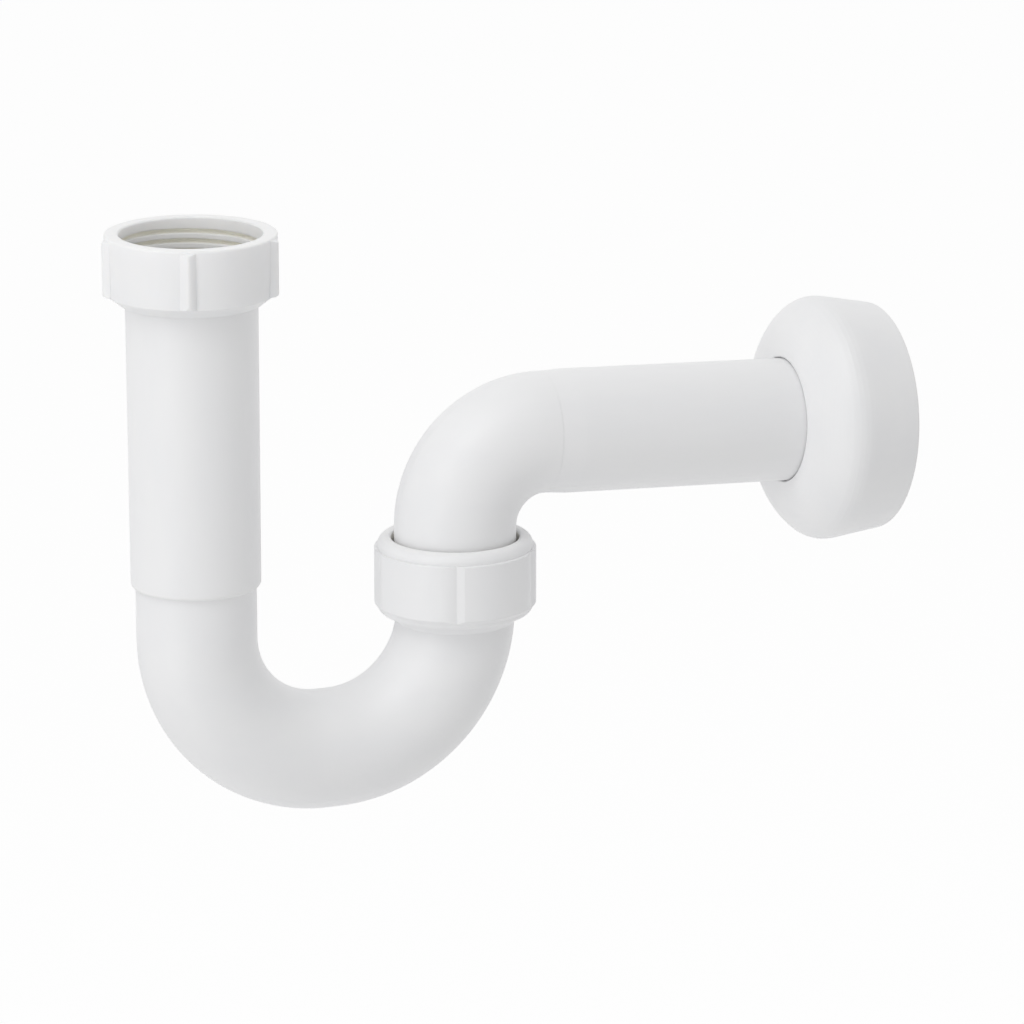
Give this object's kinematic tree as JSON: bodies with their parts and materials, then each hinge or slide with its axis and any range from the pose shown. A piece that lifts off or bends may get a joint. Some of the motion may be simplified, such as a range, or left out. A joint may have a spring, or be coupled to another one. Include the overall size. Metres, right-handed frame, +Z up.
{
  "type": "tubular p-trap",
  "caption": "White plastic tubular P-trap: straight inlet with a ribbed union nut, U-bend, swivelling outlet elbow held by a ribbed slip nut, and a domed wall rosette.",
  "frame": {"origin": "centre of the inlet nut's mouth, where the waste's thread enters", "axes": "+Z up along the inlet, toward the waste above; +X toward the wall outlet, in the plane of the bend; +Y across it"},
  "size_m": [0.2716, 0.0796, 0.1916],
  "materials": {
    "nut_plastic": "satin moulded white polypropylene",
    "pipe_plastic": "satin moulded white polypropylene",
    "ring_plastic": "smooth natural polyethylene",
    "seal_rubber": "matt black rubber"
  },
  "bodies": {
    "trap": {"inlet_tube": "pipe_plastic", "inlet_washer": "seal_rubber", "trap_bend": "pipe_plastic"},
    "union_nut": {"inlet_nut": "nut_plastic"},
    "seal": {"outlet_seal": "seal_rubber"},
    "elbow": {"outlet_bend": "pipe_plastic"},
    "ring": {"slip_ring": "ring_plastic"},
    "slip_nut": {"outlet_nut": "nut_plastic"},
    "rosette": {"wall_rosette": "nut_plastic"}
  },
  "joints": [
    {"name": "inlet_nut_turn", "type": "hinge", "parent": "trap", "child": "union_nut", "pos_m": [0, 0, 0], "axis": [0, 0, 1], "continuous": true},
    {"name": "outlet_swivel", "type": "hinge", "parent": "trap", "child": "seal", "pos_m": [0.0877, 0, -0.1307], "axis": [0, 0, 1], "range_deg": [-130, 130]},
    {"name": "outlet_lift", "type": "slide", "parent": "seal", "child": "elbow", "axis": [0, 0, 1], "range_m": [0, 0.01]},
    {"name": "ring_rise", "type": "slide", "parent": "trap", "child": "ring", "axis": [0, 0, 1], "range_m": [0, 0.0063]},
    {"name": "outlet_nut_turn", "type": "hinge", "parent": "ring", "child": "slip_nut", "pos_m": [0.0877, 0, -0.1307], "axis": [0, 0, 1], "range_deg": [0, 720]},
    {"name": "rosette_slide", "type": "slide", "parent": "elbow", "child": "rosette", "axis": [0.9988, 0, -0.0489], "range_m": [-0.08, 0]}
  ],
  "couplings": [
    {"joint": "ring_rise", "follows": "outlet_nut_turn", "m_per_rad": 0.00050134}
  ]
}
